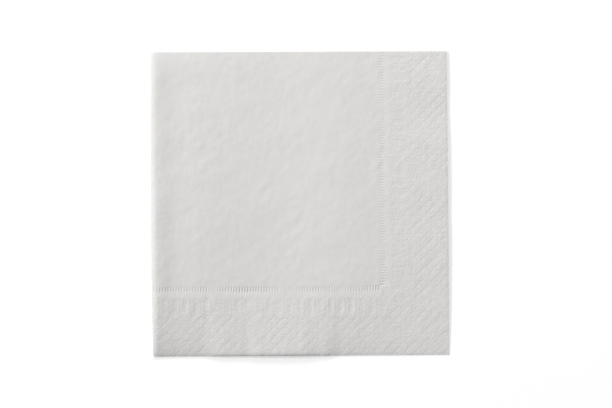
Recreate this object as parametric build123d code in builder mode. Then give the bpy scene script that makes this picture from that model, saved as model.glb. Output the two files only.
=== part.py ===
from build123d import *
import math
import os

# A paper luncheon napkin: one tissue sheet with an embossed border, folded in half twice.
# The first fold lies at the back and the last fold at the left, so four layers lie on each other.
# The cut edges, at the right and in front, carry the embossed border.
# The origin is under the middle of the napkin: X to the right, Y to the back, Z up.

# Folded sheet
WIDTH = 160.0  # last fold to the right-hand cut edges
LENGTH = 164.0  # first fold to the cut edges in front
SHEET = 0.3  # thickness of the tissue
LAYER_GAP = 0.25  # air between two layers that lie on each other
FOLD_PUFF = 1.1  # how much wider the last fold stands open than the cut edges do

# Embossed border, measured inwards from the cut edges
EMBOSS_DEPTH = 0.12  # depth of every pressed shape
LATTICE_PITCH = 5.6  # repeat of the diamonds along an edge
LATTICE_DEPTH = 21.0  # from a cut edge to the inner end of the lattice
RISING_SHIFT = 3.4  # from the corner to the first line that rises to the right
LINE_WIDTH = 1.2  # width of the lattice lines and of the legs
LEG_LENGTH = 8.6  # straight legs that go on from the rising lines
OVAL_INSET = 1.2  # from the lattice to the ovals, which lie between the legs
OVAL_LENGTH = 8.8  # pressed ovals, across the border
OVAL_WIDTH = 3.4  # along the border
OVAL_CORNER = 1.1  # flats that round an oval's corners
OVAL_RIM = 0.8  # sloping rim round an oval's flat bottom
TICK_GAP = 3.2  # plain strip between the ovals and the ticks
TICK_LENGTH = 3.4  # short marks in a row, across the border's inner edge
TICK_PITCH = 1.475  # from one tick to the next
TICK_WIDTH = 0.8  # width of a tick
FOLD_MARGIN = 0.3  # plain strip left beside the folds

# Headings of lines on the paper, in degrees from its X
RISING = 45
FALLING = 135
BACKWARD = 90
LEFTWARD = 180

# Layers and the last fold
sheet_step = SHEET + LAYER_GAP
pair_half = SHEET + LAYER_GAP / 2
pair_step = 2 * pair_half + LAYER_GAP
nose_radius = (pair_step + FOLD_PUFF) / 2
nose = Vector(-WIDTH / 2 + pair_half + nose_radius, pair_half + nose_radius)

# The upper pair of layers slopes from the puffed fold down to the cut edges.
open_end = Vector(WIDTH / 2, pair_half + pair_step)
span = open_end - nose
slope = math.asin(nose_radius / span.length) - math.atan2(span.Y, span.X)

# The embossed face of the upper layer: its origin is the front right corner, X right, Y to the back.
paper_right = Vector(math.cos(slope), 0, -math.sin(slope))
paper_up = Vector(math.sin(slope), 0, math.cos(slope))
paper_corner = Vector(open_end.X, -LENGTH / 2, open_end.Y) + paper_up * pair_half
paper = Plane(paper_corner, x_dir=paper_right, z_dir=paper_up)
run_left = span.X - nose_radius * math.sin(slope) - FOLD_MARGIN
run_back = LENGTH - pair_half - FOLD_MARGIN

# The rising lines of the lattice cross the falling ones, of which one starts at the corner.
# At the inner end of the lattice each rising line turns into a leg.
oval_start = LATTICE_DEPTH + OVAL_INSET
oval_end = oval_start + OVAL_LENGTH
tick_start = oval_end + TICK_GAP
tick_end = tick_start + TICK_LENGTH
cutter_rise = EMBOSS_DEPTH / 2
overrun = SHEET


def headed(heading):
    """The paper's plane at the corner, with its X turned to this heading."""
    return Plane(paper.location * Rotation(0, 0, heading))


def across(heading, start=0.0):
    """The plane that stands on the paper across a line of this heading, start from the corner."""
    line = headed(heading)
    return Plane(line.origin + line.x_dir * start, x_dir=line.y_dir, z_dir=line.x_dir)


def vee(width):
    """The section of a pressed line: a point below the paper, open above it."""
    half_top = width / 2 * (1 + cutter_rise / EMBOSS_DEPTH)
    Polygon((-half_top, cutter_rise), (0, -EMBOSS_DEPTH), (half_top, cutter_rise), align=None)


def repeats(first, last, pitch):
    """Evenly spaced places, from first to no further than last."""
    return [first + pitch * number for number in range(math.floor((last - first) / pitch) + 1)]


# Lattice lines of both headings, kept to the border and to the whole of its corner
rising_places = repeats(RISING_SHIFT, LATTICE_DEPTH + max(run_left, run_back), LATTICE_PITCH)
falling_back = repeats(0, run_back, LATTICE_PITCH)
falling_left = repeats(LATTICE_PITCH, run_left, LATTICE_PITCH)
falling_places = [-place for place in falling_back] + falling_left
lattice_cutters = []
for heading, places in [(RISING, rising_places), (FALLING, falling_places)]:
    with BuildPart() as lattice_cutter:
        with BuildSketch(across(heading)):
            with Locations(*[(place / math.sqrt(2), 0) for place in places]):
                vee(LINE_WIDTH)
        extrude(amount=run_left + run_back, both=True)
        with BuildSketch(paper.offset(-SHEET)):
            with BuildLine():
                Polyline(
                    (overrun, -overrun),
                    (overrun, run_back),
                    (-LATTICE_DEPTH, run_back),
                    (-LATTICE_DEPTH, oval_end),
                    (-oval_end, oval_end),
                    (-oval_end, LATTICE_DEPTH),
                    (-run_left, LATTICE_DEPTH),
                    (-run_left, -overrun),
                    close=True,
                )
            make_face()
        extrude(amount=2 * SHEET, mode=Mode.INTERSECT)
    lattice_cutters.append(lattice_cutter.part)

# Legs, ovals and ticks of the right-hand border, headed left, and of the front border, headed back.
# Their places are counted from the corner.
leg_phase = RISING_SHIFT - LATTICE_DEPTH
leg_number = math.ceil((oval_end + LATTICE_PITCH - leg_phase) / LATTICE_PITCH)
first_leg = leg_phase + leg_number * LATTICE_PITCH
first_oval = first_leg - LATTICE_PITCH / 2
first_tick = tick_end + TICK_PITCH / 2
rim_rise = OVAL_RIM * cutter_rise / EMBOSS_DEPTH
border_cutters = []
for heading, turn, run in [(LEFTWARD, 1, run_back), (BACKWARD, -1, run_left)]:
    with BuildPart() as oval_cutter:
        for level, inset in [(cutter_rise, -rim_rise), (-EMBOSS_DEPTH, OVAL_RIM)]:
            with BuildSketch(headed(heading).offset(level)):
                with Locations((oval_start + OVAL_LENGTH / 2, 0)):
                    Rectangle(OVAL_LENGTH, OVAL_WIDTH)
                chamfer(vertices(), OVAL_CORNER)
                offset(amount=-inset, kind=Kind.INTERSECTION, mode=Mode.REPLACE)
        loft(ruled=True)
    from_corner = headed(heading).y_dir * -turn
    legs = repeats(first_leg, run - LINE_WIDTH, LATTICE_PITCH)
    ovals = repeats(first_oval, run - OVAL_WIDTH / 2, LATTICE_PITCH)
    ticks = repeats(first_tick, run - TICK_WIDTH, TICK_PITCH)
    with BuildPart() as border_cutter:
        with BuildSketch(across(heading, LATTICE_DEPTH)):
            with Locations(*[(-turn * place, 0) for place in legs]):
                vee(LINE_WIDTH)
        extrude(amount=LEG_LENGTH)
        with BuildSketch(across(heading, tick_start)):
            with Locations(*[(-turn * place, 0) for place in ticks]):
                vee(TICK_WIDTH)
        extrude(amount=TICK_LENGTH)
        with Locations(*[from_corner * place for place in ovals]):
            add(oval_cutter.part)
    border_cutters.append(border_cutter.part)

# The folded sheet: a pair of layers joined by the first fold and carried round the last fold
with BuildPart() as napkin:
    with BuildLine(Plane.XZ) as last_fold:
        Line((WIDTH / 2, pair_half), (nose.X, pair_half))
        puff = CenterArc((nose.X, nose.Y), nose_radius, -90, -180 - math.degrees(slope))
        Line(puff @ 1, (open_end.X, open_end.Y))
    with BuildSketch(Plane.YZ.offset(WIDTH / 2)):
        with BuildLine():
            outer_layer = Line((-LENGTH / 2, SHEET / 2), (LENGTH / 2 - pair_half, SHEET / 2))
            first_fold = JernArc(outer_layer @ 1, (1, 0), sheet_step / 2, 180)
            Line(first_fold @ 1, (-LENGTH / 2, SHEET / 2 + sheet_step))
        trace(line_width=SHEET)
    sweep(path=last_fold.wire())
    for cutter in lattice_cutters + border_cutters:
        add(cutter, clean=False, mode=Mode.SUBTRACT)

napkin.part.label = "napkin"
os.makedirs("parts", exist_ok=True)
export_step(napkin.part, "parts/napkin.step")
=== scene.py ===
import math
from typing import NamedTuple

import bpy
import numpy as np
from bpy.props import FloatProperty, FloatVectorProperty, PointerProperty
from mathutils import Matrix, Vector
from mathutils.geometry import delaunay_2d_cdt


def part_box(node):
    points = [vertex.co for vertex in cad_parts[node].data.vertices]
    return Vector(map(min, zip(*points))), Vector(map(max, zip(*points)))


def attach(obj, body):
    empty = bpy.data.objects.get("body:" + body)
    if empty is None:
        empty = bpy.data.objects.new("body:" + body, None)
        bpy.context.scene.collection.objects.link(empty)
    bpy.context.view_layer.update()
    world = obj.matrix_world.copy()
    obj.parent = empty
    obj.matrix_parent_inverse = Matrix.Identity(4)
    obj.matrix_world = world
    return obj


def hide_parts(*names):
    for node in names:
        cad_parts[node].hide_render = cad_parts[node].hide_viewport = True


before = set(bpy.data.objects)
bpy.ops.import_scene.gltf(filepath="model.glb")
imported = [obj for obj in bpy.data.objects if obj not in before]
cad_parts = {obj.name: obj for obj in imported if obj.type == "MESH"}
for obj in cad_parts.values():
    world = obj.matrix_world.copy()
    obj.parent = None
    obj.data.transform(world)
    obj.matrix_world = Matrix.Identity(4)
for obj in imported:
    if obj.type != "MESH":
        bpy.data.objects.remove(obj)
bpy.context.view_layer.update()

bl_info = {
    "name": "Folded paper napkin",
    "version": (1, 0, 0),
    "blender": (4, 5, 0),
    "location": "View3D > Sidebar > Napkin",
    "description": "Folds an embossed tissue sheet into a napkin and sets it on a pale stage",
    "category": "Add Mesh",
}

# The napkin is one sheet, folded in half twice: its first fold lies at the back (+Y), its last fold at
# the left (-X), and its cut edges lie in front and at the right.
NODE = "napkin"
BODY = "root"
NODE_LOW, NODE_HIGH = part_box(NODE)
MM = 0.001

# Values that the mesh holds for its material: the first darkens the pressed lines and ticks, partly as denser
# pressed fibres and partly as painted shade in their grooves
PRESSED_AND_SHADED = "pressed"
CREPE = "crepe"

# How far the front edge sinks, from left to right, as shares of the front droop
SINK_PLACES = (0, 0.04, 0.16, 0.25, 0.31, 0.37, 0.44, 0.5, 0.57, 0.64, 0.72, 0.8, 0.9, 1)
SINK = (0.98, 1.1, 1.12, 0.54, 0.48, 0.04, -0.12, 0, 0.48, 1.05, 1.12, 1.05, 0.94, 1)
# How far the upper layers stand up, from left to right, as shares of the puff
PUFF_PLACES = (0, 0.12, 0.42, 0.72, 1)
PUFF = (1.05, 1.05, 0.5, 1.28, 1.1)
# How high the right edge lies, from front to back, as shares of the right wave
WAVE_PLACES = (0, 0.18, 0.38, 0.44, 0.58, 0.68, 0.8, 0.89, 1)
WAVE = (-0.85, -0.55, 0.55, 0.15, 1, 1, -0.85, 0.3, 0)

# How far in from the cut edges the right wave and the border's crinkles go
BORDER_REACH = 40 * MM
# Strength of the border's crinkles at the two cut edges, before it is held to 1
FRONT_CRINKLE = 2.0
RIGHT_CRINKLE = 1.1
# The embossing grows flatter where the paper keeps less than this share of its height
FLATTENED = 0.25
# Least and greatest depth of the embossing, as shares of its plain depth
PRESS_RANGE = (0.1, 2)
# Painted shade of the pressed lines, as a share of the ticks' shade; part of it stands for denser pressed
# fibres
LINE_PAINTED_SHADE = 0.5
# Edges of the mesh that are sharper than this are drawn sharp
CREASE = math.radians(60)


def size(name, description, default):
    """A length that a user may change, in metres."""
    return FloatProperty(name=name, description=description, default=default, unit="LENGTH", precision=5)


def share(name, description, default, low=0):
    """A share from low to 1 that a user may change."""
    return FloatProperty(
        name=name, description=description, default=default, subtype="FACTOR", min=low, max=1, precision=4)


def colour(name, description, default):
    """A colour that a user may change."""
    return FloatVectorProperty(
        name=name, description=description, default=default, subtype="COLOR", min=0, max=1)


def angle(name, description, default):
    """An angle that a user may change, with its default in degrees."""
    return FloatProperty(
        name=name, description=description, default=math.radians(default), subtype="ANGLE")


def power(name, description, default):
    """A lamp's power that a user may change, in watts."""
    return FloatProperty(name=name, description=description, default=default, min=0, unit="POWER")


class NapkinPaper(bpy.types.PropertyGroup):
    """The tissue sheet and how it lies folded."""

    # Folded sheet
    width: size("Width", "Last fold to the right-hand cut edges", NODE_HIGH.x - NODE_LOW.x)
    length: size("Length", "First fold to the cut edges in front", NODE_HIGH.y - NODE_LOW.y)
    height: size("Height", "Height of the last fold", NODE_HIGH.z - NODE_LOW.z)
    sheet: size("Sheet", "Thickness of the tissue", 0.3 * MM)
    layer_gap: size("Layer gap", "Air between two layers", 0.25 * MM)
    nose: size("Nose", "Last fold's edge to its crest, between its two layers", 3.1 * MM)
    nose_reach: size("Nose reach", "How far the last fold swells the layers beside its crest", 6.5 * MM)
    nose_share: share("Nose share", "Share of the crest's rise over the cut edges that is this swelling", 0.4)
    tuck: size("Tuck", "How far in the front end of the last fold lies", 1.1 * MM)
    tuck_reach: size("Tuck reach", "How far back from the front edge the tuck goes", 130 * MM)

    # Edges that sink or are pressed down, as shares of their height
    front_droop: share("Front droop", "How far the front edge sinks", 0.71)
    right_droop: share("Right droop", "How far the right edge sinks", 0.06)
    near_reach: size("Near reach", "How far in from a cut edge the paper sinks steeply", 6 * MM)
    near_share: share("Near share", "Share of the sinking that is steep", 0.25)
    far_reach: size("Far reach", "How far in from a cut edge the paper starts to sink", 50 * MM)
    back_droop: share("Back droop", "How far the first fold is pressed down", 0.1)
    back_reach: size("Back reach", "How far in from the first fold it is pressed down", 8 * MM)
    corner_droop: share("Corner droop", "How much further the corner of both folds is pressed down", 0.27)
    corner_reach: size("Corner reach", "How far that goes along the first fold", 35 * MM)
    front_roll: share("Front roll", "How far the rim of the front edge bends down where it stands up", 0.234)
    flat_roll: share("Flat roll", "How far the rim of the front edge bends down where it lies flat", 0.216)
    right_roll: share("Right roll", "How far the rim of the right edge bends down", 0.06)
    roll_reach: size("Roll reach", "How far in from a cut edge its rim goes", 0.8 * MM)

    # Loose layers that stand up
    puff: size("Puff", "How far the upper layers stand up inside the edges", 3.6 * MM)
    front_puff: share("Front puff", "Share of the puff that is left at the front edge", 0.85)
    front_slope: size("Front slope", "Front edge to where the puff is full", 62 * MM)
    back_puff: share("Back puff", "Share of the puff that is left at the first fold", 0.46)
    right_puff: share("Right puff", "Share of the puff that is left at the right edge", 0.07)
    right_slope: size("Right slope", "Right edge to where the puff is full", 110 * MM)
    right_wave: size("Right wave", "How far the right edge rises and falls along its length", 0.55 * MM)

    # Uneven paper
    swell: size("Swell", "Slow rise and fall of the layers", 0.08 * MM)
    fold_swell: size("Fold swell", "How much more the layers rise and fall at the last fold", 0.12 * MM)
    fold_reach: size("Fold reach", "How far in from the last fold that goes", 25 * MM)
    crinkle: size("Crinkle", "Fine rise and fall of the layers, streaked from front to back", 0.042 * MM)
    border_crinkle: size("Border crinkle", "More fine rise and fall in the border", 0.045 * MM)
    tissue: colour("Tissue", "Colour of the tissue", (0.648, 0.640, 0.627))


class NapkinBorder(bpy.types.PropertyGroup):
    """The embossed border, measured inwards from the cut edges."""

    # Pattern
    pitch: size("Lattice pitch", "Repeat of the diamonds along an edge", 5.6 * MM)
    lattice_depth: size("Lattice depth", "Cut edge to the inner end of the lattice", 21.0 * MM)
    rising_shift: size("Rising shift", "Corner to the first line that rises to the right", 3.4 * MM)
    line: size("Line width", "Width of the lattice lines and of the legs", 1.25 * MM)
    leg: size("Leg length", "Straight legs that go on from the rising lines", 8.6 * MM)
    inset: size("Oval inset", "From the lattice to the ovals", 1.2 * MM)
    oval_length: size("Oval length", "Size of an oval across the border", 8.8 * MM)
    oval_width: size("Oval width", "Size of an oval along the border", 3.4 * MM)
    rim: size("Oval rim", "Sloping rim round an oval's flat bottom", 0.9 * MM)
    tick_gap: size("Tick gap", "Plain strip between the ovals and the ticks", 3.7 * MM)
    tick: size("Tick length", "Length of a tick", 2.2 * MM)
    tick_pitch: size("Tick pitch", "From one tick to the next", 1.475 * MM)
    tick_line: size("Tick width", "Width of a tick", 0.9 * MM)

    # Depth
    line_depth: size("Line depth", "Depth of the lattice lines and of the legs", 0.039 * MM)
    oval_depth: size("Oval depth", "Depth of the ovals", 0.08 * MM)
    tick_depth: size("Tick depth", "Depth of the ticks", 0.175 * MM)
    pillow: size("Pillow", "How far the paper swells between the lattice lines", 0.017 * MM)
    right_press: share(
        "Right press", "Depth of the right border's legs, ovals and ticks, as a share of the front's", 0.5)
    unevenness: share("Unevenness", "How far the depth of the border varies", 0.9)
    tick_unevenness: share("Tick unevenness", "How far the depth of the right border's ticks varies", 0.3)

    # How the pattern is pulled out of place
    front_stretch: share("Front stretch", "Stretch of the front border to the left", -0.004, low=-1)
    right_stretch: share("Right stretch", "Stretch of the right border to the back", 0.007, low=-1)
    right_lean: share("Right lean", "Lean of the right border to the right, towards the back", 0.0068, low=-1)
    wander: size("Wander", "How far the border strays from straight", 0.3 * MM)


class NapkinStage(bpy.types.PropertyGroup):
    """The floor, the light and the camera."""

    floor: colour("Floor", "Colour of the floor", (0.995, 0.995, 0.995))
    floor_half: size("Floor half", "Middle of the floor to its edges", 3.0)
    floor_glow: share("Floor glow", "Share of plain white in what the camera sees of the floor", 0.54)
    fill: FloatProperty(name="Fill", description="Strength of the light from all round", default=0.321, min=0)

    key: power("Key light", "Power of the key light", 800)
    key_size: size("Key size", "Diameter of the key light", 3.0)
    key_distance: size("Key distance", "Napkin to the key light", 10.0)
    key_height: angle("Key height", "Angle of the key light above the floor", 40)
    key_turn: angle("Key turn", "Angle of the key light from the back to the left", 69)

    back: power("Back light", "Power of the back light", 16.7)
    back_size: size("Back size", "Diameter of the back light", 0.5)
    back_distance: size("Back distance", "Napkin to the back light", 1.8)
    back_height: angle("Back height", "Angle of the back light above the floor", 34)
    back_turn: angle("Back turn", "Angle of the back light from the back to the left", 5)

    lens: FloatProperty(name="Lens", description="Focal length of the camera", default=100, unit="CAMERA")
    distance: size("Distance", "Napkin to the camera", 0.917)
    aim: FloatVectorProperty(name="Aim", description="Point that the camera looks at", subtype="TRANSLATION",
                             default=(3.56 * MM, -0.5 * MM, 0))
    tilt: angle("Tilt", "Camera's lean to the front", 2.777)
    swing: angle("Swing", "Camera's lean to the right", -0.288)
    roll: angle("Roll", "Camera's turn about its own line of sight", -0.331)


def nearest(place, pitch):
    """Distance to the nearest whole number of pitches."""
    return np.abs(place - pitch * np.round(place / pitch))


def groove(distance, width):
    """1 on a pressed line, falling smoothly to 0 at half its width."""
    across = np.clip(distance / (width / 2), 0, 1)
    return (1 - across**2) ** 2


def smooth_step(value, low, high):
    """0 below low and 1 above high, with a smooth rise between."""
    step = np.clip((value - low) / (high - low), 0, 1)
    return step * step * (3 - 2 * step)


def eased(place, places, values):
    """A smooth line through the values at the places."""
    number = np.clip(np.searchsorted(places, place) - 1, 0, len(places) - 2)
    step = smooth_step(place, np.take(places, number), np.take(places, number + 1))
    return np.take(values, number) * (1 - step) + np.take(values, number + 1) * step


class Waves:
    """Gentle, seeded unevenness: the sum of many straight waves, seldom more than 1 either way."""

    def __init__(self, seed, count, lengths, headings=(0, math.pi)):
        draw = np.random.default_rng(seed)
        waves = 2 * math.pi / draw.uniform(*lengths, count)
        headings = draw.uniform(*headings, count)
        self.across = np.stack([waves * np.cos(headings), waves * np.sin(headings)])
        self.phase = draw.uniform(0, 2 * math.pi, count)

    def at(self, x, y):
        """Height of the waves at these places."""
        total = np.zeros_like(x)
        for wave_x, wave_y, phase in zip(*self.across, self.phase):
            total += np.sin(wave_x * x + wave_y * y + phase)
        return total / math.sqrt(2 * len(self.phase))


# Each with its seed, number of waves, range of wave lengths and range of headings from X, in radians
SWELL = Waves(7, 24, (18 * MM, 60 * MM))
CRINKLE = Waves(11, 90, (4 * MM, 12 * MM), (-1.15, 0.75))
BORDER_CRINKLE = Waves(13, 90, (3.5 * MM, 12 * MM), (-1.2, 1.2))
PRESS = Waves(17, 40, (5 * MM, 35 * MM))
WANDER = (Waves(19, 12, (35 * MM, 90 * MM)), Waves(23, 12, (35 * MM, 90 * MM)))


class Border:
    """The pressed border, for distances u and v from the right-hand and the front cut edge.

    From a cut edge inwards it has a lattice of diamonds, legs with ovals between them, a plain strip and
    a row of ticks.
    """

    def __init__(self, sizes):
        self.sizes = sizes
        self.side = sizes.pitch / math.sqrt(2)
        self.oval_start = sizes.lattice_depth + sizes.inset
        self.oval_end = self.oval_start + sizes.oval_length
        self.tick_start = self.oval_end + sizes.tick_gap
        self.tick_end = self.tick_start + sizes.tick
        self.first_tick = self.tick_end + sizes.tick_pitch / 2
        self.leg_phase = sizes.rising_shift - sizes.lattice_depth
        # The first leg stands at least one pitch beyond the ovals of the other border.
        number = math.ceil((self.oval_end + sizes.pitch - self.leg_phase) / sizes.pitch)
        self.first_leg = self.leg_phase + number * sizes.pitch

    def strayed(self, u, v):
        """Where a point of the straight pattern lies on the paper."""
        stray_u, stray_v = self.stray(u, v)
        return u + stray_u, v + stray_v

    def straightened(self, u, v):
        """Where a point of the paper lies on the straight pattern."""
        stray_u, stray_v = self.stray(u, v)
        return u - stray_u, v - stray_v

    def stray(self, u, v):
        """How far the pattern is pulled out of place along each border."""
        stray_u, stray_v = (self.sizes.wander * waves.at(u, v) for waves in WANDER)
        stray_u += self.sizes.front_stretch * np.maximum(u - self.oval_end, 0)
        stray_u -= self.sizes.right_lean * np.maximum(v - self.oval_end, 0)
        stray_v += self.sizes.right_stretch * np.maximum(v - self.oval_end, 0)
        return stray_u, stray_v

    def lattice_margin(self, u, v):
        """How far inside the lattice a point lies, below 0 outside it."""
        along_edges = self.sizes.lattice_depth - np.minimum(u, v)
        in_corner = self.oval_end - np.maximum(u, v)
        return np.maximum(along_edges, in_corner)

    def lattice(self, u, v):
        """Pressed lines and the swelling between them."""
        sizes = self.sizes
        rising = nearest(u + v - sizes.rising_shift, sizes.pitch) / math.sqrt(2)
        falling = nearest(u - v, sizes.pitch) / math.sqrt(2)
        inside = smooth_step(self.lattice_margin(u, v), -sizes.line / 2, 0)
        pressed = np.maximum(groove(rising, sizes.line), groove(falling, sizes.line))
        swell = (np.sin(math.pi * rising / self.side) * np.sin(math.pi * falling / self.side)) ** 2
        return pressed * inside, swell * inside

    def legs(self, depth, along):
        """Pressed legs of one border, for the distances from its edge and along it."""
        start = self.sizes.lattice_depth
        beside = nearest(along - self.leg_phase, self.sizes.pitch)
        beyond = np.maximum(np.maximum(start - depth, depth - start - self.sizes.leg), 0)
        pressed = groove(np.hypot(beside, beyond), self.sizes.line)
        return pressed * (along > self.first_leg - self.sizes.pitch / 2)

    def ovals(self, depth, along):
        """Pressed ovals of one border, midway between its legs, each with a flat bottom."""
        beside = nearest(along - self.leg_phase - self.sizes.pitch / 2, self.sizes.pitch)
        half = self.sizes.oval_width / 2
        beyond = np.maximum(np.maximum(self.oval_start + half - depth, depth - self.oval_end + half), 0)
        pressed = smooth_step(half - np.hypot(beside, beyond), 0, self.sizes.rim)
        return pressed * (along > self.first_leg - self.sizes.pitch)

    def ticks(self, depth, along):
        """Pressed ticks of one border, for the distances from its edge and along it."""
        beside = nearest(along - self.first_tick, self.sizes.tick_pitch)
        beyond = np.maximum(np.maximum(self.tick_start - depth, depth - self.tick_end), 0)
        pressed = groove(np.hypot(beside, beyond), self.sizes.tick_line)
        return pressed * (along > self.first_tick - self.sizes.tick_pitch / 2)

    def relief(self, u, v):
        """Height of the embossed paper over the plain paper, and how far its lines and ticks are darkened in
        colour, partly for denser fibres and partly as painted shade in the grooves.
        """
        sizes = self.sizes
        uneven = PRESS.at(u, v)
        press = np.clip(1 + sizes.unevenness * uneven, *PRESS_RANGE)
        front = 1 - smooth_step(v, self.tick_end, self.tick_end + sizes.pitch)
        tick_unevenness = sizes.tick_unevenness + (sizes.unevenness - sizes.tick_unevenness) * front
        strip_press = sizes.right_press + (1 - sizes.right_press) * front
        tick_press = np.clip(1 + tick_unevenness * uneven, *PRESS_RANGE) * strip_press
        u, v = self.straightened(u, v)
        lines, swell = self.lattice(u, v)
        ovals = np.zeros_like(lines)
        ticks = np.zeros_like(lines)
        for depth, along in [(u, v), (v, u)]:
            lines = np.maximum(lines, self.legs(depth, along) * strip_press)
            ovals = np.maximum(ovals, self.ovals(depth, along) * strip_press)
            ticks = np.maximum(ticks, self.ticks(depth, along))
        sunk = np.maximum(sizes.line_depth * lines, sizes.oval_depth * ovals) - sizes.pillow * swell
        # Painted shade in the grooves, standing partly for denser pressed fibres; the lines count for less
        # than the ticks
        pressed = np.maximum(lines * press * LINE_PAINTED_SHADE, ticks * tick_press)
        return -sunk * press - sizes.tick_depth * ticks * tick_press, pressed

    def crepe(self, u, v):
        """How crinkled the paper is: 1 from the edge to the ovals' end, 0 from the ticks inwards."""
        return 1 - smooth_step(np.minimum(u, v), self.oval_end, self.tick_start)

    def lattice_points(self, run_u, run_v, offsets):
        """Points on a net along both families of lines, offset from each line by shares of its spacing."""
        sizes = self.sizes
        count = math.ceil((run_u + run_v) / sizes.pitch) + 1
        rising = (np.arange(-1, count)[:, None] + offsets).ravel() * self.side
        rising += sizes.rising_shift / math.sqrt(2)
        falling = (np.arange(-count, count)[:, None] + offsets).ravel() * self.side
        a, b = np.meshgrid(rising, falling)
        u = (a + b).ravel() / math.sqrt(2)
        v = (a - b).ravel() / math.sqrt(2)
        kept = (u > -sizes.pitch) & (v > -sizes.pitch) & (u < run_u + sizes.pitch) & (v < run_v)
        kept &= self.lattice_margin(u, v) > -sizes.line / 4
        return np.stack([u[kept], v[kept]], 1)


def strip_points(depths, first, pitch, offsets, run):
    """Points of a strip of one border, as distances from its edge and along it."""
    along = (np.arange(first - pitch, run + pitch, pitch)[:, None] + offsets).ravel()
    return np.stack(np.meshgrid(depths, along), -1).reshape(-1, 2)


class Spot:
    """Where points lie on the folded napkin, as places, as shares of its sizes and from its edges."""

    def __init__(self, points, paper):
        self.x, self.y, self.z = points.T
        self.across = self.x / paper.width + 0.5
        self.along = self.y / paper.length + 0.5
        self.from_right = np.maximum(paper.width / 2 - self.x, 0)
        self.from_left = np.maximum(self.x + paper.width / 2, 0)
        self.from_front = np.maximum(self.y + paper.length / 2, 0)
        self.from_back = np.maximum(paper.length / 2 - self.y, 0)


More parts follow.
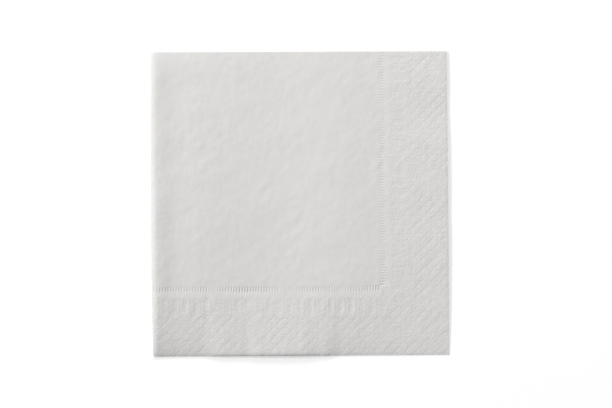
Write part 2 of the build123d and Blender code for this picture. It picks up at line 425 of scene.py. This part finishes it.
class FoldedSheet:
    """Where each point of the flat sheet lies once it is folded twice.

    The flat sheet runs along s from the upper right-hand cut edge over the last fold to the lower one, and
    along t from the front cut edge of the outer layers over the first fold to that of the inner layers.
    """

    # Steps round the first fold, round the last fold, and along each stretch of the last fold's section
    BEND_STEPS = 10
    NOSE_STEPS = 26
    PATH_STEPS = 400

    def __init__(self, paper):
        self.paper = paper
        self.pair_half = paper.sheet + paper.layer_gap / 2
        self.pair_step = 2 * self.pair_half + paper.layer_gap
        self.bend_radius = (paper.sheet + paper.layer_gap) / 2
        self.bend_start = paper.length - self.pair_half
        self.bend_end = self.bend_start + math.pi * self.bend_radius
        self.length = self.bend_end + self.bend_start
        self.trace_last_fold()

    def trace_last_fold(self):
        """The middle of a pair of layers, from its upper cut edge round the last fold to its lower one."""
        paper = self.paper
        right = paper.width / 2
        half_height = paper.height / 2 - self.pair_half
        crest_x = -right + self.pair_half + paper.nose
        middle_z = self.pair_half + half_height
        open_z = self.pair_half + self.pair_step
        rise = middle_z + half_height - open_z
        run = np.linspace(right, crest_x, self.PATH_STEPS) - crest_x
        swell = paper.nose_share * np.exp(-((run / paper.nose_reach) ** 2))
        slope = (1 - paper.nose_share) * (1 - run / run[0])
        upper = np.stack([run + crest_x, open_z + rise * (swell + slope)], 1)
        turn = np.linspace(math.pi / 2, 3 * math.pi / 2, self.PATH_STEPS)[1:]
        nose = np.stack([crest_x + paper.nose * np.cos(turn), middle_z + half_height * np.sin(turn)], 1)
        path = np.concatenate([upper, nose, [(right, self.pair_half)]])
        steps = np.linalg.norm(np.diff(path, axis=0), axis=1)
        self.path = path
        self.path_at = np.concatenate([[0], np.cumsum(steps)])
        self.nose_start = self.path_at[self.PATH_STEPS - 1]
        self.nose_end = self.path_at[-2]
        self.width = self.path_at[-1]

    def bend_lines(self):
        """Lines along the first fold, close enough to round it."""
        return np.linspace(self.bend_start, self.bend_end, self.BEND_STEPS + 1)

    def nose_lines(self):
        """Lines along the last fold, close enough to round it."""
        return np.linspace(self.nose_start, self.nose_end, self.NOSE_STEPS + 1)

    def along_path(self, s):
        """X and Z of the pair's middle, at this distance along the last fold's section."""
        return [np.interp(s, self.path_at, self.path[:, axis]) for axis in (0, 1)]

    def along_last_fold(self, s):
        """Place and outward direction of the pair's middle in X and Z."""
        step = self.path_at[-1] / (8 * self.PATH_STEPS)
        x, z = self.along_path(s)
        ahead = self.along_path(s + step)
        behind = self.along_path(s - step)
        run_x = ahead[0] - behind[0]
        run_z = ahead[1] - behind[1]
        run = np.hypot(run_x, run_z)
        return x, z, run_z / run, -run_x / run

    def along_first_fold(self, t):
        """Place and outward direction of a layer in Y and across the pair."""
        turn = np.clip((t - self.bend_start) / self.bend_radius, 0, math.pi)
        straight = np.minimum(t, self.bend_start) - np.maximum(t - self.bend_end, 0)
        y = straight - self.paper.length / 2 + self.bend_radius * np.sin(turn)
        return y, self.bend_radius * np.cos(turn), np.sin(turn), np.cos(turn)

    def place(self, s, t, out, relief=0):
        """Points of the folded sheet, out from the middle of its thickness, with relief on top."""
        y, across, turn_y, turn_across = self.along_first_fold(t)
        x, z, turn_x, turn_z = self.along_last_fold(s)
        across = across + out * turn_across
        points = np.stack([x + across * turn_x, y + out * turn_y, z + across * turn_z], 1)
        return self.settle(points, relief * turn_across * turn_z)

    def settle(self, points, relief):
        """Lets the edges sink and the layers stand up.

        All layers at one place are scaled alike, so they keep their order. The relief isn't scaled.
        """
        paper = self.paper
        spot = Spot(points, paper)
        kept = self.kept_height(spot)
        settled = kept * spot.z * (1 + self.rise(spot) / paper.height)
        tuck = paper.tuck * np.maximum(1 - spot.from_front / paper.tuck_reach, 0) ** 2
        points[:, 0] += tuck * np.clip(1 - spot.from_left / paper.width, 0, 1)
        points[:, 2] = settled + np.minimum(kept / FLATTENED, 1) * relief
        return points

    def kept_height(self, spot):
        """Share of its height that the paper keeps near edges that sink, are pressed down or bend."""
        paper = self.paper
        sinks = eased(spot.across, SINK_PLACES, SINK)
        sunk = paper.front_droop * sinks * self.fall(spot.from_front)
        sunk += paper.right_droop * self.fall(spot.from_right)
        corner_droop = paper.corner_droop * np.exp(-spot.from_left / paper.corner_reach)
        sunk += (paper.back_droop + corner_droop) * np.exp(-spot.from_back / paper.back_reach)
        front_roll = paper.front_roll + (paper.flat_roll - paper.front_roll) * sinks
        front_roll *= np.exp(-spot.from_front / paper.roll_reach)
        right_roll = paper.right_roll * np.exp(-spot.from_right / paper.roll_reach)
        return (1 - sunk) * (1 - front_roll) * (1 - right_roll)

    def fall(self, inward):
        """How far the paper sinks at this distance from an edge: steeply at first, then slowly."""
        near = np.exp(-inward / self.paper.near_reach)
        far = np.clip(1 - inward / self.paper.far_reach, 0, 1) ** 2
        return far + self.paper.near_share * (near - far)

    def rise(self, spot):
        """How far a point at the napkin's full height stands up, from swells, crinkles, wave and puff."""
        paper = self.paper
        x, y = spot.x, spot.y
        from_front, from_right = spot.from_front, spot.from_right
        front_edge = 1 - from_front / BORDER_REACH
        right_edge = 1 - from_right / BORDER_REACH
        swell = paper.swell + paper.fold_swell * np.exp(-spot.from_left / paper.fold_reach)
        rise = swell * SWELL.at(x, y)
        # With its places swapped, the swell is a second slow pattern, in which the crinkles come and go.
        rise += paper.crinkle * CRINKLE.at(x, y) * (1 + SWELL.at(y, x))
        border = np.clip(np.maximum(FRONT_CRINKLE * front_edge, RIGHT_CRINKLE * right_edge), 0, 1)
        rise += paper.border_crinkle * border * BORDER_CRINKLE.at(x, y)
        rise += paper.right_wave * eased(spot.along, WAVE_PLACES, WAVE) * np.maximum(right_edge, 0)
        puff = paper.front_puff + (1 - paper.front_puff) * smooth_step(from_front, 0, paper.front_slope)
        puff *= 1 - (1 - paper.back_puff) * smooth_step(from_front, paper.front_slope, paper.length)
        puff *= paper.right_puff + (1 - paper.right_puff) * smooth_step(from_right, 0, paper.right_slope)
        rise += paper.puff * eased(spot.across, PUFF_PLACES, PUFF) * puff
        return rise


class SheetSide:
    """One side of the flat sheet, as points joined into triangles."""

    # Spacing of points along the cut edges and along the lines that round the folds
    EDGE_STEP = 0.6 * MM
    FOLD_STEP = 1.6 * MM
    # Spacing of points on layers that lie hidden
    HIDDEN_STEP = 5 * MM
    # Least distance from other points to the cut edges and to the folds' lines
    CLEARANCE = 0.12 * MM
    # Points that are closer than this are one point
    MERGE = 1e-7

    def __init__(self, folds):
        self.folds = folds
        s_edge = self.spread(folds.width, self.EDGE_STEP, folds.nose_lines())
        t_edge = self.spread(folds.length, self.EDGE_STEP, folds.bend_lines())
        self.rim = self.rectangle(s_edge, t_edge)
        self.lines = []
        s_along = self.spread(folds.width, self.FOLD_STEP, folds.nose_lines())
        t_along = self.spread(folds.length, self.FOLD_STEP, folds.bend_lines())
        for t in folds.bend_lines():
            self.lines.append(np.stack([s_along, np.full_like(s_along, t)], 1))
        for s in folds.nose_lines():
            self.lines.append(np.stack([np.full_like(t_along, s), t_along], 1))
        self.loose = []

    @staticmethod
    def spread(run, step, extra):
        """Even places from 0 to run, with the extra ones among them."""
        even = np.linspace(0, run, round(run / step) + 1)
        apart = np.abs(even[:, None] - extra).min(1) > step / 4
        ends = (even == 0) | (even == run)
        return np.sort(np.concatenate([even[apart | ends], extra]))

    @staticmethod
    def rectangle(s, t):
        """The sheet's outline, once round."""
        front = np.stack([s[:-1], np.zeros(len(s) - 1)], 1)
        far = np.stack([np.full(len(t) - 1, s[-1]), t[:-1]], 1)
        back = np.stack([s[:0:-1], np.full(len(s) - 1, t[-1])], 1)
        near = np.stack([np.zeros(len(t) - 1), t[:0:-1]], 1)
        return np.concatenate([front, far, back, near])

    def add(self, points):
        """More points, left out where they crowd the outline or a fold's lines."""
        room = np.minimum(points, [self.folds.width, self.folds.length] - points).min(1)
        for axis, lines in [(0, self.folds.nose_lines()), (1, self.folds.bend_lines())]:
            room = np.minimum(room, np.abs(points[:, axis, None] - lines).min(1))
        self.loose.append(points[room > self.CLEARANCE])

    def add_hidden(self, t_range):
        """Adds evenly spaced points over the sheet's whole width, for part of its length."""
        step = self.HIDDEN_STEP
        s = np.arange(step / 2, self.folds.width, step)
        t = np.arange(t_range[0] + step / 2, t_range[1], step)
        self.add(np.stack(np.meshgrid(s, t), -1).reshape(-1, 2))

    def triangles(self):
        """All points, the triangles that join them, and the outline's point numbers."""
        drawn = np.concatenate([self.rim, *self.lines, *self.loose])
        cells = np.round(drawn / self.MERGE).astype(np.int64)
        _, first, place = np.unique(cells, axis=0, return_index=True, return_inverse=True)
        place = place.ravel()
        points = drawn[first]
        edges = []
        start = len(self.rim)
        for line in self.lines:
            numbers = place[start:start + len(line)]
            edges += list(zip(numbers[:-1].tolist(), numbers[1:].tolist()))
            start += len(line)
        made = delaunay_2d_cdt([Vector(point) for point in points.tolist()], edges, [], 0, self.MERGE, False)
        if len(made[0]) != len(points):
            raise RuntimeError("the sheet's points cross or crowd each other")
        return points, np.array(made[2]), place[:len(self.rim)]


class Fineness(NamedTuple):
    """How closely the points of an outer layer lie."""

    line: tuple  # from the middle of a line or leg to its edge, as shares of its half width
    pillow: int  # points between two lattice lines
    rim: tuple  # across an oval's rim, as shares of its width
    flat: int  # points along an oval's bottom
    tick: tuple  # from the middle of a tick, as shares of the tick pitch
    field: float  # from one point of the plain field to the next


UPPER = Fineness((0, 0.45, 1), 3, (0, 0.5, 1), 6, (-0.5, -0.3, -0.15, 0, 0.15, 0.3), 1.1 * MM)
LOWER = Fineness((0, 1), 1, (0, 1), 3, (-0.5, -0.25, 0, 0.25), 4 * MM)


def outer_layer(folds, border, fine):
    """Points of an outer layer, as distances from the right-hand and the front cut edge."""
    sizes = border.sizes
    run_u = folds.width / 2
    run_v = folds.bend_start
    beside = np.array(fine.line) * sizes.line / 2
    between = np.linspace(beside[-1], border.side - beside[-1], fine.pillow + 2)[1:-1]
    lattice = np.concatenate([beside, between, border.side - beside[:0:-1]]) / border.side
    parts = [border.lattice_points(run_u, run_v, lattice)]

    legs = np.concatenate([-beside[:0:-1], beside])
    rim = np.array(fine.rim) * sizes.rim
    ovals = np.concatenate([rim - sizes.oval_width / 2, [0], sizes.oval_width / 2 - rim[::-1]])
    marks = np.concatenate([legs, ovals + sizes.pitch / 2])
    mark_depths = np.concatenate([
        np.linspace(sizes.lattice_depth + sizes.line / 4, border.oval_start, 2, endpoint=False),
        border.oval_start + rim,
        np.linspace(border.oval_start + sizes.rim, border.oval_end - sizes.rim, fine.flat + 2)[1:-1],
        border.oval_end - rim[::-1],
        [border.oval_end + sizes.line / 4],
    ])
    ticks = np.array(fine.tick) * sizes.tick_pitch
    tick_ends = np.array([-1, 0, 1]) * sizes.tick_line / 2
    tick_middle = (border.tick_start + border.tick_end) / 2
    tick_depths = np.concatenate([border.tick_start + tick_ends, [tick_middle], border.tick_end + tick_ends])
    for run, is_front in [(run_v, False), (run_u, True)]:
        for points in [
            strip_points(mark_depths, border.first_leg, sizes.pitch, marks, run),
            strip_points(tick_depths, border.first_tick, sizes.tick_pitch, ticks, run),
        ]:
            parts.append(points[:, ::-1] if is_front else points)

    edge = border.tick_end + sizes.tick_line
    u, v = np.meshgrid(np.arange(edge, run_u, fine.field), np.arange(edge, run_v, fine.field))
    parts.append(np.stack([u.ravel(), v.ravel()], 1))
    points = np.stack(border.strayed(*np.concatenate(parts).T), 1)
    return points[(points[:, 0] < run_u) & (points[:, 1] < run_v)]


def outer_side(folds, border):
    """The side that shows: fine over the border, on the upper layer most of all."""
    side = SheetSide(folds)
    side.add(outer_layer(folds, border, UPPER))
    lower = outer_layer(folds, border, LOWER)
    lower[:, 0] = folds.width - lower[:, 0]
    side.add(lower)
    side.add_hidden((folds.bend_end, folds.length))
    return side


def inner_side(folds):
    """The side that is folded away, with only the folds and the edges drawn out."""
    side = SheetSide(folds)
    side.add_hidden((0, folds.bend_start))
    side.add_hidden((folds.bend_end, folds.length))
    return side


def folded_mesh(folds, border):
    """The whole sheet as one closed mesh: both sides, joined along the cut edges."""
    half_sheet = folds.paper.sheet / 2
    points, faces, rim = outer_side(folds, border).triangles()
    s, t = points.T
    u = np.minimum(s, folds.width - s)
    # The second value darkens the grooves: partly denser fibres, partly painted shade
    relief, pressed = border.relief(u, t)
    # The lower layer is only pressed in, so that it lies flat on the floor.
    relief = np.where(s > folds.width / 2, np.minimum(relief, 0), relief)
    # Only the outer layers show, so only they are embossed.
    shown = smooth_step(folds.bend_start - t, 0, folds.paper.sheet)
    outer = folds.place(s, t, half_sheet, relief * shown)
    back_points, back_faces, back_rim = inner_side(folds).triangles()
    inner = folds.place(*back_points.T, -half_sheet)
    back_faces = back_faces + len(outer)
    back_rim = back_rim + len(outer)
    walls = np.stack([rim, np.roll(rim, -1), np.roll(back_rim, -1), back_rim], 1)
    mesh = bpy.data.meshes.new("napkin_sheet")
    mesh.from_pydata(np.concatenate([outer, inner]).tolist(), [],
                     faces[:, ::-1].tolist() + back_faces.tolist() + walls.tolist())
    # The pressed mark darkens the tissue: partly denser fibres, partly painted shade in the grooves
    for name, values in [(PRESSED_AND_SHADED, pressed), (CREPE, border.crepe(u, t))]:
        values = np.concatenate([values * shown, np.zeros(len(inner))]).astype(np.float32)
        mesh.attributes.new(name, "FLOAT", "POINT").data.foreach_set("value", values)
    mesh.validate()
    mesh.shade_smooth()
    mesh.set_sharp_from_angle(angle=CREASE)
    return mesh


class Socket:
    """A node's output that takes part in sums: each sum adds a Math node."""

    def __init__(self, finish, output):
        self.finish = finish
        self.output = output

    def math(self, operation, first, second):
        """Adds a Math node."""
        return self.finish.node("ShaderNodeMath", {"operation": operation}, {0: first, 1: second})

    def __add__(self, other):
        return self.math("ADD", self, other)

    __radd__ = __add__

    def __sub__(self, other):
        return self.math("SUBTRACT", self, other)

    def __rsub__(self, other):
        return self.math("SUBTRACT", other, self)

    def __mul__(self, other):
        return self.math("MULTIPLY", self, other)

    __rmul__ = __mul__


class Finish:
    """A node tree under construction."""

    def __init__(self, tree):
        self.tree = tree
        tree.nodes.clear()

    def node(self, kind, settings, inputs, output=0):
        """Adds a node, sets it up, fills or links its sockets and gives one of its outputs."""
        made = self.tree.nodes.new(kind)
        for name, value in settings.items():
            setattr(made, name, value)
        for key, value in inputs.items():
            if isinstance(value, Socket):
                self.tree.links.new(value.output, made.inputs[key])
            else:
                made.inputs[key].default_value = value
        return Socket(self, made.outputs[output] if made.outputs else None)


class Texture(NamedTuple):
    """One of the tissue's fine textures."""

    scale: float  # features in a metre
    detail: float  # finer copies of it that are laid over it
    shade: float  # weight in the colour
    relief: float  # weight in the bump


MOTTLE = Texture(150.0, 3.0, 0.5, 2.6)
STREAKS = Texture(420.0, 2.0, 0.3, 0.9)
WRINKLES = Texture(850.0, 2.0, 0.0, 1.8)
GRAIN = Texture(2600.0, 3.0, 0.2, 0.3)
# The streaks are drawn out from front to back.
STREAK_SHAPE = (1.0, 0.5, 1.0)
# How much a pressed place darkens the colour, beside the textures' weights: partly denser pressed fibres,
# partly painted shade in the grooves
PRESSED_AND_PAINTED_SHADE = 0.3
# The colour where the shade is 0 and where it is 1, as shares of the tissue's own colour
DARK = 0.94
LIGHT = 1.06
# Height of the bump where the weighted textures add up to 1
BUMP_HEIGHT = 0.1 * MM
# Roughness of the tissue, and how much the grain adds to it
ROUGHNESS = 0.82
GRAIN_ROUGHNESS = 0.15


def tissue_finish(tissue):
    """Matt white tissue: soft mottling, crepe streaks, a fine fibre grain, a wrinkled border, and pressed
    lines darkened partly for denser fibres and partly as painted shade.
    """
    material = bpy.data.materials.new("tissue_paper")
    material.use_nodes = True
    finish = Finish(material.node_tree)

    def noise(texture, where):
        inputs = {"Vector": where, "Scale": texture.scale, "Detail": texture.detail}
        return finish.node("ShaderNodeTexNoise", {}, inputs, "Fac")

    here = finish.node("ShaderNodeTexCoord", {}, {}, "Object")
    # Where the grooves are darkened in colour: partly denser fibres, partly painted shade
    pressed = finish.node("ShaderNodeAttribute", {"attribute_name": PRESSED_AND_SHADED}, {}, "Fac")
    crepe = finish.node("ShaderNodeAttribute", {"attribute_name": CREPE}, {}, "Fac")
    mottle = noise(MOTTLE, here)
    streaked = finish.node("ShaderNodeVectorMath", {"operation": "MULTIPLY"}, {0: here, 1: STREAK_SHAPE})
    streaks = noise(STREAKS, streaked)
    wrinkles = noise(WRINKLES, here)
    grain = noise(GRAIN, here)
    # The pressed places take a painted shade, standing partly for denser pressed fibres
    shade = mottle * MOTTLE.shade + streaks * STREAKS.shade + grain * GRAIN.shade - pressed * PRESSED_AND_PAINTED_SHADE
    base = finish.node("ShaderNodeMix", {"data_type": "RGBA", "clamp_factor": False}, {
        "Factor": shade,
        "A": [DARK * part for part in tissue] + [1],
        "B": [LIGHT * part for part in tissue] + [1],
    }, "Result")
    height = mottle * MOTTLE.relief + streaks * STREAKS.relief + grain * GRAIN.relief
    height = height + crepe * wrinkles * WRINKLES.relief
    bump = finish.node(
        "ShaderNodeBump", {}, {"Strength": 1.0, "Distance": BUMP_HEIGHT, "Height": height}, "Normal")
    shader = finish.node("ShaderNodeBsdfPrincipled", {}, {
        "Base Color": base,
        "Roughness": ROUGHNESS + grain * GRAIN_ROUGHNESS,
        "Normal": bump,
        "Specular IOR Level": 0.2,
        "Sheen Weight": 0.05,
        "Sheen Roughness": 0.6,
    })
    finish.node("ShaderNodeOutputMaterial", {}, {"Surface": shader})
    return material


class NAPKIN_OT_fold_sheet(bpy.types.Operator):
    """Fold the embossed sheet and lay it in place of the plain solid"""

    bl_idname = "napkin.fold_sheet"
    bl_label = "Fold the napkin"

    def execute(self, context):
        paper = context.scene.napkin_paper
        folds = FoldedSheet(paper)
        piece = bpy.data.objects.new("napkin_sheet", folded_mesh(folds, Border(context.scene.napkin_border)))
        context.scene.collection.objects.link(piece)
        piece.data.materials.append(tissue_finish(paper.tissue))
        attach(piece, BODY)
        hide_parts(NODE)
        return {"FINISHED"}


def seen_directly(finish):
    """1 where the camera sees a surface directly, in a mirror or through glass."""
    rays = [finish.node("ShaderNodeLightPath", {}, {}, name)
            for name in ("Is Camera Ray", "Is Glossy Ray", "Is Transmission Ray")]
    return rays[0] + rays[1] + rays[2]


class NAPKIN_OT_set_stage(bpy.types.Operator):
    """Lay the floor, light the napkin and place the camera"""

    bl_idname = "napkin.set_stage"
    bl_label = "Set the stage"

    def execute(self, context):
        stage = context.scene.napkin_stage
        self.lay_floor(context, stage)
        self.light(context, stage)
        self.place_camera(context, stage)
        context.scene.view_settings.view_transform = "Standard"
        return {"FINISHED"}

    def lay_floor(self, context, stage):
        """A pale floor that glows a little to the camera and still shows the napkin's shadow."""
        half = stage.floor_half
        corners = [(-half, -half, 0), (half, -half, 0), (half, half, 0), (-half, half, 0)]
        mesh = bpy.data.meshes.new("floor")
        mesh.from_pydata(corners, [], [(0, 1, 2, 3)])
        floor = bpy.data.objects.new("floor", mesh)
        context.scene.collection.objects.link(floor)
        material = bpy.data.materials.new("pale_floor")
        material.use_nodes = True
        finish = Finish(material.node_tree)
        matt = finish.node("ShaderNodeBsdfDiffuse", {}, {"Color": [*stage.floor, 1]})
        white = finish.node("ShaderNodeEmission", {}, {"Strength": 1.0})
        glow = seen_directly(finish) * stage.floor_glow
        surface = finish.node("ShaderNodeMixShader", {}, {0: glow, 1: matt, 2: white})
        finish.node("ShaderNodeOutputMaterial", {}, {"Surface": surface})
        mesh.materials.append(material)

    def light(self, context, stage):
        """Soft light from all round, which looks white, and two lamps."""
        world = bpy.data.worlds.new("soft_room")
        world.use_nodes = True
        finish = Finish(world.node_tree)
        fill = finish.node("ShaderNodeBackground", {}, {"Strength": stage.fill})
        white = finish.node("ShaderNodeBackground", {}, {"Strength": 1.0})
        surface = finish.node("ShaderNodeMixShader", {}, {0: seen_directly(finish), 1: fill, 2: white})
        finish.node("ShaderNodeOutputWorld", {}, {"Surface": surface})
        context.scene.world = world
        self.add_lamp(context, "key_light", stage.key, stage.key_size, stage.key_distance,
                      stage.key_height, stage.key_turn)
        self.add_lamp(context, "back_light", stage.back, stage.back_size, stage.back_distance,
                      stage.back_height, stage.back_turn)

    def add_lamp(self, context, name, watts, diameter, distance, height, turn):
        """A round lamp that points at the napkin."""
        lamp = bpy.data.lights.new(name, "AREA")
        lamp.shape = "DISK"
        lamp.size = diameter
        lamp.energy = watts
        piece = bpy.data.objects.new(name, lamp)
        level = math.cos(height)
        towards = Vector((-level * math.sin(turn), level * math.cos(turn), math.sin(height)))
        piece.location = towards * distance
        piece.rotation_euler = towards.to_track_quat("Z", "Y").to_euler()
        context.scene.collection.objects.link(piece)

    def place_camera(self, context, stage):
        """A camera nearly straight above the napkin."""
        view = bpy.data.cameras.new("camera")
        view.lens = stage.lens
        camera = bpy.data.objects.new("camera", view)
        back = Vector((math.sin(stage.swing), -math.sin(stage.tilt) * math.cos(stage.swing),
                       math.cos(stage.tilt) * math.cos(stage.swing)))
        right = Vector((0, 1, 0)).cross(back).normalized()
        up = back.cross(right)
        turn = Matrix((right, up, back)).transposed().to_4x4() @ Matrix.Rotation(stage.roll, 4, "Z")
        camera.matrix_world = Matrix.Translation(Vector(stage.aim) + back * stage.distance) @ turn
        context.scene.collection.objects.link(camera)
        context.scene.camera = camera


class NAPKIN_PT_panel(bpy.types.Panel):
    """The napkin's sizes, colours and steps"""

    bl_label = "Folded napkin"
    bl_space_type = "VIEW_3D"
    bl_region_type = "UI"
    bl_category = "Napkin"

    def draw(self, context):
        for group in (context.scene.napkin_paper, context.scene.napkin_border, context.scene.napkin_stage):
            box = self.layout.box()
            for name in group.__annotations__:
                box.prop(group, name)
        for operator in (NAPKIN_OT_fold_sheet, NAPKIN_OT_set_stage):
            self.layout.operator(operator.bl_idname)


CLASSES = (NapkinPaper, NapkinBorder, NapkinStage, NAPKIN_OT_fold_sheet, NAPKIN_OT_set_stage, NAPKIN_PT_panel)


def register():
    for kind in CLASSES:
        bpy.utils.register_class(kind)
    bpy.types.Scene.napkin_paper = PointerProperty(type=NapkinPaper)
    bpy.types.Scene.napkin_border = PointerProperty(type=NapkinBorder)
    bpy.types.Scene.napkin_stage = PointerProperty(type=NapkinStage)


def unregister():
    for name in ("napkin_paper", "napkin_border", "napkin_stage"):
        delattr(bpy.types.Scene, name)
    for kind in reversed(CLASSES):
        bpy.utils.unregister_class(kind)


def main():
    """Builds the napkin and its stage."""
    register()
    bpy.ops.napkin.fold_sheet()
    bpy.ops.napkin.set_stage()


if __name__ == "__main__":
    main()
